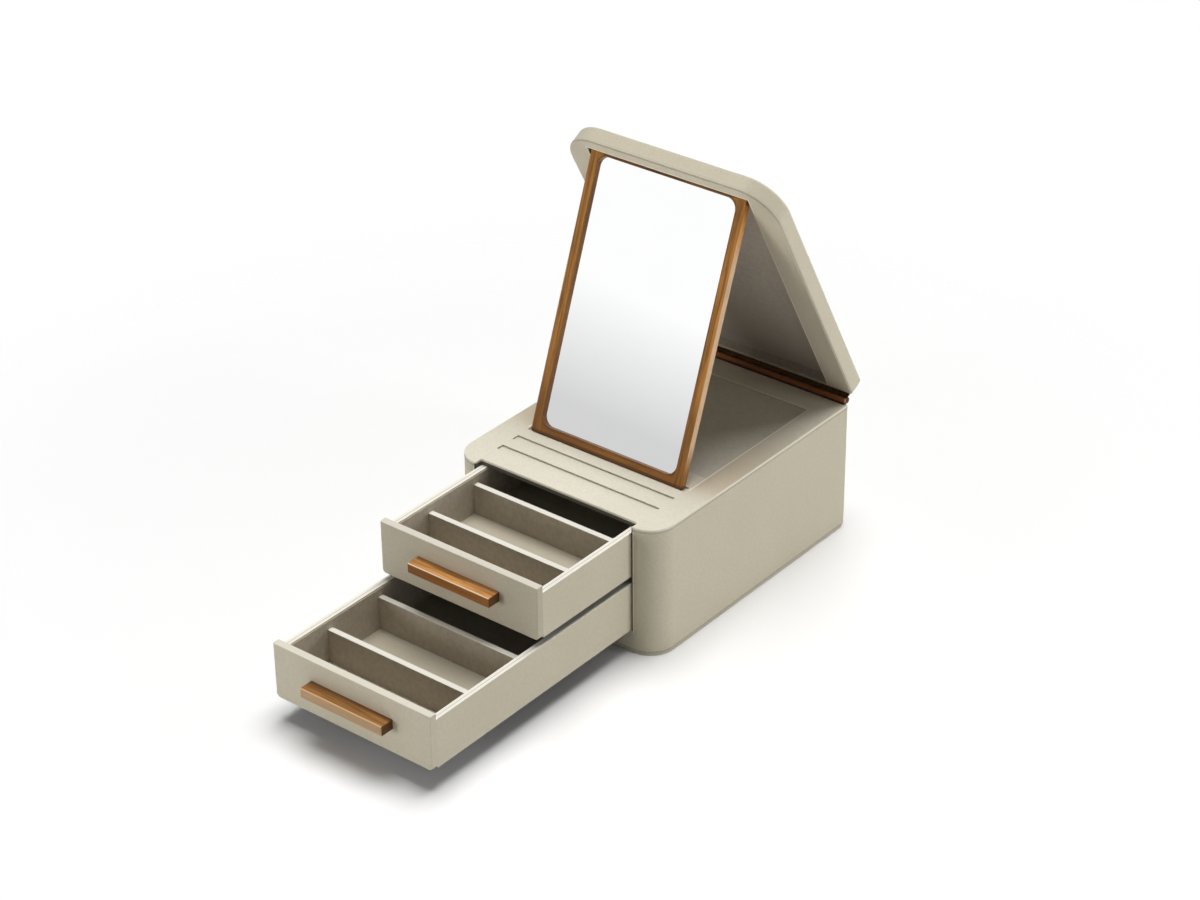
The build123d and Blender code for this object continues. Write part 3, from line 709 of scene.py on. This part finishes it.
class VANITY_OT_case(bpy.types.Operator):
    """Dresses the case's leather, boards and felt, and sews its seams"""

    bl_idname = "vanity.case"
    bl_label = "Case"

    def execute(self, context):
        looks = context.scene.vanity_looks
        skin = tuple(looks.leather)
        posts = ("right_post", "left_post")
        walls = ("right_wall", "left_wall", "back_wall")
        bay_boards = ("right_bay_side", "left_bay_side", "mid_shelf", "top_board")
        dress(self.skin_leather(skin), "case_wrap")
        dress(self.top_leather(skin, tuple(looks.top_leather), tuple(looks.edge_leather)), "top_cover")
        dress(fibreboard("bare_board", BARE_BOARD), "base_board", *posts, *walls)
        # The bay's boards are painted nearly black, as painted shade inside the drawer bay.
        dress(leather("bay_painted_shade", shade(skin, 0.13)), *bay_boards)
        dress(felt("foot_felt", rgb(74, 70, 66)), "base_felt")
        dress(felt("glide_felt", rgb(92, 86, 80)), "lower_glides", "upper_glides")
        self.stitches(looks, skin)
        return {"FINISHED"}

    def bay_front(self, x, y):
        """1 on the front edges round the drawer bay."""
        return abs(x).below(BAY + 1.4 * MM) * y.below(FRONT + MM)

    def skin_leather(self, skin):
        """Leather of the sides, with a seam at the top and the foot, and painted highlight and shade beside
        the bay.
        """
        def marks(build):
            x, y, z = build.parts(build.place())
            # The top seam is partly a real seam and partly painted shade that dims the highlight on the top
            # edge.
            seam = z.line(SKIN_TOP, 0.15 * MM, 0.35 * MM)
            foot = z.line(BASE + 2.0 * MM, 0.25 * MM, 0.3 * MM)
            # Beside the bay: painted shade along its front edges in the gap by the drawers, a painted
            # highlight standing for a turned edge, and painted shade next to it.
            opening = self.bay_front(x, y) * z.above(BAY_FLOOR)
            post = z.inside(BAY_FLOOR - 2 * MM, SKIN_TOP - MM) * y.below(FRONT + 2 * MM)
            fold = abs(x).line(BAY + 2.0 * MM, 0.3 * MM, 0.4 * MM) * post
            shaded = abs(x).line(BAY + 4.0 * MM, 0.6 * MM, 1.6 * MM) * post
            return (
                (seam.most(foot) * 0.7, shade(skin, 0.45), 0.5),
                (shaded * 0.35, shade(skin, 0.75), 0.0),
                (fold * 0.6, shade(skin, 1.25), 0.0),
                (opening, BAY_GAP_SHADE, 0.0),
            )

        return leather("case_leather", skin, marks)

    def top_leather(self, skin, top, edge):
        """Leather of the top: grooves, tray and front edge with painted highlights and shade, and a painted
        reflection of the walnut.
        """
        def marks(build):
            place = build.place()
            x, y, z = build.parts(place)
            inner = abs(x).below(INNER)
            over_tray = y.inside(TRAY_FRONT, TRAY_BACK)
            groove = z.inside(GROOVE_FLOOR, TOP - 0.08 * MM) * inner * y.inside(GROOVES_FRONT, GROOVES_BACK)
            wall = z.inside(TRAY_WALL, TOP - 0.04 * MM) * inner * over_tray
            floor = z.inside(TRAY_FLOOR, TRAY_WALL) * inner * over_tray
            level = z.above(TOP - 0.1 * MM)
            beyond = (abs(x) - LINE_SIDE).most(y - LINE_BACK)
            painted_edge_line = beyond.line(0.45 * MM, 0.4 * MM, 0.25 * MM) * level * y.above(LINE_FRONT)
            rim = z.inside(SKIN_TOP - MM, SKIN_TOP + 0.2 * MM)
            reflection_band = abs(x).ease(SIDE - 24 * MM, SIDE - 18 * MM) * level
            middle = y.ease(FRONT + 55 * MM, FRONT + 85 * MM) * y.fade(FRONT + 110 * MM, BACK - 40 * MM)
            over_bay = self.bay_front(x, y)
            return (
                # painted shade in the two open grooves
                (groove * 0.4, GROOVE_SHADE, 0.0),
                # painted highlight on the tray's rear wall
                (wall * 0.7, shade(top, 1.3), 0.0),
                # painted shade on the tray's floor
                (floor * (0.15 + 0.7 * build.noise(place, 300.0)), shade(top, 0.66), 0.0),
                # painted reflection of the walnut frame, beside the mirror
                (reflection_band * middle * 0.4, WALNUT_REFLECTION, 0.0),
                # painted highlight round the tray, reaching forward past its step
                (painted_edge_line * 0.9, shade(top, 1.3), 0.0),
                (rim * 0.6, shade(skin, 0.6), 0.0),
                # painted highlight on the front edge over the bay, with painted shade under it
                (over_bay * 0.5, edge, 0.0),
                (over_bay * z.fade(TOP - 1.3 * MM, TOP - 0.9 * MM), COVER_EDGE_SHADE, 0.0),
            )

        return leather("top_leather", top, marks)

    def stitches(self, looks, skin):
        """A row under the top edge and one over the foot, on each side of the drawers."""
        bury = looks.stitch_thickness * 0.2
        side, front, corner = SIDE - bury, FRONT + bury, CORNER - bury
        upper = front_run(side, front, corner, BAY + 3 * MM, BACK - 4 * MM, SKIN_TOP - 1.1 * MM)
        lower = front_run(side, front, corner, 0.0, BACK - 8 * MM, BASE + 3.0 * MM)
        runs = [upper, other_side(upper), lower, other_side(lower)]
        sew("case_stitches", runs, looks, shade(skin, 0.4), "case")


class VANITY_OT_drawers(bpy.types.Operator):
    """Dresses both drawers"""

    bl_idname = "vanity.drawers"
    bl_label = "Drawers"

    def execute(self, context):
        looks = context.scene.vanity_looks
        skin, edge, cloth = tuple(looks.leather), tuple(looks.edge_leather), tuple(looks.suede)
        for drawer, tone in (("lower", 0.97), ("upper", 0.86)):
            dress(self.panel_leather(drawer, shade(skin, tone), edge), f"{drawer}_panel")
            walls = [f"{drawer}_{part}" for part in ("right_side", "left_side", "back", "bottom")]
            dress(self.wall_leather(drawer, skin, edge), *walls)
            lining = f"{drawer}_lining"
            floor = low(lining).z + 0.9 * MM
            surface_texture = suede(f"{drawer}_suede", cloth, pale_mark=shade(skin, 0.95), pale_mark_height=floor)
            dress(surface_texture, lining)
            for part in ("front_divider", "rear_divider"):
                divider = f"{drawer}_{part}"
                dress(suede(f"{divider}_suede", cloth, edge, high(divider).z), divider)
        return {"FINISHED"}

    def panel_leather(self, drawer, skin, edge):
        """Leather of a drawer's front, lighter where it folds over the top edge."""
        top = high(f"{drawer}_panel").z

        def marks(build):
            fold = build.parts(build.place())[2].ease(top - 0.7 * MM, top - 0.2 * MM)
            return ((fold * 0.5, edge, 0.0),)

        return leather(f"{drawer}_panel_leather", skin, marks)

    def wall_leather(self, drawer, skin, edge):
        """Leather of a drawer's walls, with a fold along their paler top edges, and painted shade underneath.
        """
        start, end = low(f"{drawer}_right_side"), high(f"{drawer}_right_side")
        middle = (start.x + end.x) / 2

        def marks(build):
            x, _, z = build.parts(build.place())
            over = z.above(end.z - 0.15 * MM)
            fold = abs(x).line(middle, 0.12 * MM, 0.3 * MM)
            return (
                (over, edge, 0.0),
                (over * fold * 0.6, shade(skin, 0.5), 0.4),
                # painted shade on the walls' undersides
                (z.below(start.z + 0.15 * MM), WALL_UNDERSIDE_SHADE, 0.0),
            )

        return leather(f"{drawer}_wall_leather", skin, marks)


class VANITY_OT_handles(bpy.types.Operator):
    """Dresses the walnut handles and the batten"""

    bl_idname = "vanity.handles"
    bl_label = "Walnut handles and batten"

    def execute(self, context):
        for drawer, tones in HANDLE_TONES.items():
            self.handle(drawer, *tones)
        foot = low("rear_batten").z

        def batten_marks(build):
            z = build.parts(build.place())[2]
            return ((z.fade(foot + 1.6 * MM, foot + 2.2 * MM), BATTEN_FOOT),)

        batten = walnut("batten_walnut", rgb(158, 96, 50), rgb(96, 48, 24), Build.place, batten_marks)
        dress(batten, "rear_batten")
        return {"FINISHED"}

    def handle(self, drawer, pale, dark, front, edge):
        """Walnut with a painted tone on the handle's front, dark ends, painted shade at the back and a
        painted highlight on the top front edge.
        """
        start, end = low(f"{drawer}_handle"), high(f"{drawer}_handle")

        def marks(build):
            x, y, z = build.parts(build.place())
            face = y.fade(start.y + 0.2 * MM, start.y + 0.8 * MM)
            rear = y.ease(start.y + 5 * MM, end.y - MM)
            ends = abs(x).ease(end.x - 0.6 * MM, end.x - 0.1 * MM)
            forward = y.fade(start.y + 0.3 * MM, start.y + 1.1 * MM)
            upward = z.ease(end.z - 1.1 * MM, end.z - 0.3 * MM)
            pale_mark = (forward * upward).ease(0.1, 0.7)
            return (
                # painted shade towards the back, where the handle meets the panel
                (rear * 0.6, shade(dark, 0.8)),
                # the front face's tone, painted for the light that falls there: darker on the upper handle,
                # paler on the lower
                (face * 0.75, front),
                # painted highlight along the top front edge
                (pale_mark * 0.75, edge),
                (ends * 0.85, HANDLE_END),
            )

        dress(walnut(f"{drawer}_handle_walnut", pale, dark, Build.place, marks), f"{drawer}_handle")


class VANITY_OT_lid(bpy.types.Operator):
    """Dresses the lid and sews its rim"""

    bl_idname = "vanity.lid"
    bl_label = "Lid"

    def execute(self, context):
        looks = context.scene.vanity_looks
        # The lid's leather is painted a tenth lighter than the case's, as painted light.
        skin, cloth = shade(tuple(looks.leather), 1.1), tuple(looks.suede)
        rims = [f"lid_rim_{part}" for part in ("right", "left", "front", "rear")]
        dress(self.lid_leather(skin), "lid_wrap")
        dress(self.recess_suede(cloth), "lid_lining")
        dress(suede("rim_suede", shade(cloth, 0.87)), *rims)
        dress(fibreboard("lid_board", BARE_BOARD), "lid_panel")
        self.stitches(looks, skin)
        return {"FINISHED"}

    def lid_leather(self, skin):
        """Leather of the lid, with a seam round its edge, a painted highlight round the recess and painted
        shade at the front corners.
        """
        rim, crown = LID_LOW.z - HINGE.z, LID_HIGH.z - HINGE.z
        front = LID_LOW.y - HINGE.y

        def marks(build):
            x, y, z = build.parts(lid_place(build))
            seam = z.line(rim + 0.55 * MM, 0.2 * MM, 0.35 * MM)
            beyond = (abs(x) - RECESS_HIGH.x).most((RECESS_LOW.y - HINGE.y) - y)
            painted_edge_line = beyond.line(0.5 * MM, 0.4 * MM, 0.25 * MM) * z.below(rim + 0.4 * MM)
            across = (abs(x) - (LID_HIGH.x - LID_CORNER)).most(0.0) / LID_CORNER
            along = ((front + LID_CORNER) - y).most(0.0) / LID_CORNER
            corner = (across * along * 2.0).clamp() * z.fade(crown - 3 * MM, crown - MM)
            return (
                # painted shade where the front corners turn
                (corner * 0.6, shade(skin, 0.72), 0.0),
                (seam * 0.55, shade(skin, 0.5), 0.4),
                # painted highlight along the recess's edge
                (painted_edge_line * 0.8, shade(skin, 1.35), 0.0),
            )

        return leather("lid_leather", skin, marks)

    def recess_suede(self, cloth):
        """Suede of the recess, with a painted highlight towards the lid's front and painted shade near the
        hinge.
        """
        start, end = RECESS_LOW.y - HINGE.y, RECESS_HIGH.y - HINGE.y

        def marks(build):
            y = build.parts(lid_place(build))[1]
            pale = y.fade(start + 20 * MM, start + 150 * MM)
            hinge_shade = y.ease(end - 120 * MM, end)
            # painted highlight towards the front and painted shade towards the hinge
            return ((pale * 0.6, shade(cloth, 1.75)), (hinge_shade * 0.5, shade(cloth, 0.4)))

        return suede("recess_suede", cloth, marks=marks)

    def stitches(self, looks, skin):
        """A row round the lid's edge, just above its rim."""
        bury = looks.stitch_thickness * 0.2
        side, front, corner = LID_HIGH.x - bury, LID_LOW.y + bury, LID_CORNER - bury
        right = front_run(side, front, corner, 0.0, LID_HIGH.y - 5 * MM, LID_LOW.z + 2.4 * MM)
        opened = turn_about(HINGE, LID_LEAN)
        runs = [[opened @ point for point in run] for run in (right, other_side(right))]
        sew("lid_stitches", runs, looks, shade(skin, 0.85), "lid")


class VANITY_OT_mirror(bpy.types.Operator):
    """Dresses the mirror and its frame"""

    bl_idname = "vanity.mirror"
    bl_label = "Mirror"

    def execute(self, context):
        looks = context.scene.vanity_looks
        pale, dark = tuple(looks.walnut_pale), tuple(looks.walnut_dark)
        dress(self.frame_walnut(pale, dark), "mirror_frame")
        dress(silvered_glass(), "mirror_glass")
        dress(walnut("back_walnut", rgb(98, 66, 42), rgb(52, 32, 20), rail_place), "mirror_back")
        return {"FINISHED"}

    def frame_walnut(self, pale, dark):
        """Walnut of the frame, darker at the foot, with painted shade at the head, round the glass and along
        the foot, and a painted highlight on the outer sides.
        """
        half = MIRROR_HIGH.x - FRAME_FACE
        foot, head = MIRROR_LOW.y - PIVOT.y, MIRROR_HIGH.y - PIVOT.y
        first, last = foot + FRAME_FACE, head - HEAD_FACE

        def marks(build):
            x, y, _ = build.parts(mirror_place(build))
            across = (abs(x) - (half - GLASS_CORNER)).most(0.0)
            along = (abs(y - (first + last) / 2) - ((last - first) / 2 - GLASS_CORNER)).most(0.0)
            from_glass = (across * across + along * along) ** 0.5 - GLASS_CORNER
            painted_edge_line = from_glass.fade(0.3 * MM, 1.2 * MM)
            side = abs(x).ease(MIRROR_HIGH.x - 0.5 * MM, MIRROR_HIGH.x - 0.2 * MM)
            pale_mark = side * y.ease(foot + 10 * MM, foot + 38 * MM) * y.fade(head - 60 * MM, head - 20 * MM)
            rail = y.ease(last, last + 1.5 * MM) * abs(x).fade(half - GLASS_CORNER, half - 2 * MM)
            return (
                (y.fade(foot + 15 * MM, foot + 95 * MM) * 0.6, dark),
                # painted shade round the glass, deeper on the left stile
                (painted_edge_line * (0.35 + 0.15 * x.below(0.0)), shade(dark, 0.6)),
                # painted highlight on the outer sides
                (pale_mark * 0.75, STILE_HIGHLIGHT),
                # painted shade on the head rail, under the lid's rim
                (rail * 0.75, shade(dark, 0.5)),
                # painted shade along the foot, where it sinks into the groove
                (y.fade(foot + 2.2 * MM, foot + 3.6 * MM) * 0.7, shade(dark, 0.4)),
                # painted shadow on the outer sides just under the head, beside the pins
                (side * y.ease(head - 9 * MM, head - 6 * MM) * 0.8, shade(dark, 0.3)),
            )

        return walnut("frame_walnut", shade(pale, 1.45), shade(dark, 1.35), rail_place, marks)


class VANITY_OT_metal(bpy.types.Operator):
    """Dresses the hinge, pins and screws"""

    bl_idname = "vanity.metal"
    bl_label = "Hinge, pins and screws"

    def execute(self, context):
        bronze = metal("hinge_bronze", rgb(84, 61, 40), rgb(52, 38, 27), 0.46, 0.6)
        brass = metal("pin_brass", rgb(214, 190, 140), rgb(150, 120, 80), 0.26)
        steel = metal("screw_steel", rgb(186, 186, 184), rgb(120, 118, 114), 0.32)
        plated = metal("screw_bronze", rgb(122, 92, 62), rgb(84, 62, 42), 0.38)
        dress(bronze, "case_leaf", "lid_leaf", "hinge_pin")
        dress(brass, "pivot_bushes", "mirror_pins", "lower_guide_pins", "upper_guide_pins")
        dress(plated, "case_leaf_screws", "lid_leaf_screws")
        dress(steel, "lower_handle_screws", "upper_handle_screws")
        return {"FINISHED"}


class VANITY_OT_stage(bpy.types.Operator):
    """Lays the floor and sets the lamps and the camera"""

    bl_idname = "vanity.stage"
    bl_label = "Stage"

    def execute(self, context):
        stage = context.scene.vanity_stage
        self.floor(context, stage.floor_size)
        self.room(context, stage.sky)
        self.lamps(context, stage)
        self.camera(context)
        context.scene.view_settings.view_transform = "Standard"
        return {"FINISHED"}

    def floor(self, context, size):
        """A white floor that throws back less light than it shows, and melts into the room far out."""
        half = size / 2
        corners = [(-half, -half, 0), (half, -half, 0), (half, half, 0), (-half, half, 0)]
        mesh = bpy.data.meshes.new("floor")
        mesh.from_pydata(corners, [], [(0, 1, 2, 3)])
        build = finish_of("floor_paper")
        paper = build.noise(build.place(), 3.0, detail=2.0)
        shown = build.mix(paper, FLOOR_WHITE, WHITE)
        tone = build.mix(build.seen(), FLOOR_GREY, shown)
        x, y, _ = build.parts(build.place())
        y = y + FLOOR_SHIFT
        far = ((x * x + y * y) ** 0.5).ease(*FLOOR_FADE)
        camera = build.add("ShaderNodeLightPath", output="Is Camera Ray")
        mesh.materials.append(
            build.surface(Base_Color=tone, Roughness=0.9, Specular_IOR_Level=0.0, Alpha=1.0 - far * camera)
        )
        ground = bpy.data.objects.new("floor", mesh)
        context.scene.collection.objects.link(ground)

    def room(self, context, sky):
        """Even light from all round. The camera sees white, and the mirror a wall that greys low down."""
        build = Build(bpy.data.worlds.new("room"))
        direction = build.add("ShaderNodeTexCoord", output="Generated")
        height = build.parts(direction)[2]
        start, end = WALL_FADE
        wall = build.add(
            "ShaderNodeMapRange", {},
            {"Value": height, "From Min": start, "From Max": end, "To Min": WALL_GREY, "To Max": 1.0},
        )
        camera = build.add("ShaderNodeLightPath", output="Is Camera Ray")
        light = build.add("ShaderNodeBackground", {}, {"Color": WHITE, "Strength": sky})
        shown = build.add("ShaderNodeBackground", {}, {"Color": WHITE, "Strength": wall.most(camera)})
        both = build.add("ShaderNodeMixShader", {}, {0: build.seen(), 1: light, 2: shown})
        build.finish(both, "ShaderNodeOutputWorld")
        context.scene.world = build.owner

    def lamps(self, context, stage):
        """A wide soft light overhead and a weaker lamp on each side."""
        key = bpy.data.lights.new("overhead", "SUN")
        key.energy = stage.key_strength * pi
        key.angle = stage.key_softness
        self.hang(context, key, OVERHEAD_PLACE, Vector((0, 0, 0)))
        for name, power, place in (
            ("left_lamp", stage.left_power, LEFT_LAMP_PLACE),
            ("right_lamp", stage.right_power, RIGHT_LAMP_PLACE),
        ):
            lamp = bpy.data.lights.new(name, "AREA")
            lamp.shape = "SQUARE"
            lamp.size = LAMP_SIZE
            lamp.energy = power
            self.hang(context, lamp, place, LAMP_AIM)

    def hang(self, context, light, place, aim):
        """Puts a lamp in its place, facing a point."""
        lamp = bpy.data.objects.new(light.name, light)
        lamp.location = place
        lamp.rotation_euler = (place - aim).to_track_quat("Z", "Y").to_euler()
        lamp.visible_camera = False
        lamp.visible_glossy = False
        context.scene.collection.objects.link(lamp)

    def camera(self, context):
        """The camera, turned about a point in front of the case."""
        turn, rise, roll = radians(VIEW_TURN), radians(VIEW_RISE), radians(VIEW_ROLL)
        back = Vector((sin(turn) * cos(rise), -cos(turn) * cos(rise), sin(rise)))
        across = Vector((cos(turn), sin(turn), 0))
        up = back.cross(across)
        right = cos(roll) * across + sin(roll) * up
        up = -sin(roll) * across + cos(roll) * up
        eye = bpy.data.cameras.new("camera")
        eye.sensor_width = SENSOR_WIDTH
        eye.lens = FOCAL_LENGTH / PICTURE_WIDTH * SENSOR_WIDTH
        camera = bpy.data.objects.new("camera", eye)
        matrix = Matrix((right, up, back)).transposed().to_4x4()
        matrix.translation = VIEW_AIM + back * VIEW_DISTANCE
        camera.matrix_world = matrix
        context.scene.collection.objects.link(camera)
        context.scene.camera = camera


class VANITY_PT_panel(bpy.types.Panel):
    """Lists the pieces of the box"""

    bl_label = "Vanity box"
    bl_idname = "VANITY_PT_panel"
    bl_space_type = "VIEW_3D"
    bl_region_type = "UI"
    bl_category = "Vanity box"

    def draw(self, context):
        for operator in OPERATORS:
            self.layout.operator(operator.bl_idname)
        for group in (context.scene.vanity_looks, context.scene.vanity_stage):
            for name in group.__annotations__:
                self.layout.prop(group, name)


OPERATORS = (
    VANITY_OT_case,
    VANITY_OT_drawers,
    VANITY_OT_handles,
    VANITY_OT_lid,
    VANITY_OT_mirror,
    VANITY_OT_metal,
    VANITY_OT_stage,
)
CLASSES = (VanityLooks, VanityStage, *OPERATORS, VANITY_PT_panel)


def register():
    """Registers the classes and the scene's settings."""
    for cls in CLASSES:
        bpy.utils.register_class(cls)
    bpy.types.Scene.vanity_looks = bpy.props.PointerProperty(type=VanityLooks)
    bpy.types.Scene.vanity_stage = bpy.props.PointerProperty(type=VanityStage)


def unregister():
    """Takes the settings and the classes away again."""
    del bpy.types.Scene.vanity_stage
    del bpy.types.Scene.vanity_looks
    for cls in reversed(CLASSES):
        bpy.utils.unregister_class(cls)


def main():
    """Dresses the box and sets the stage."""
    register()
    bpy.ops.vanity.case()
    bpy.ops.vanity.drawers()
    bpy.ops.vanity.handles()
    bpy.ops.vanity.lid()
    bpy.ops.vanity.mirror()
    bpy.ops.vanity.metal()
    bpy.ops.vanity.stage()


if __name__ == "__main__":
    main()
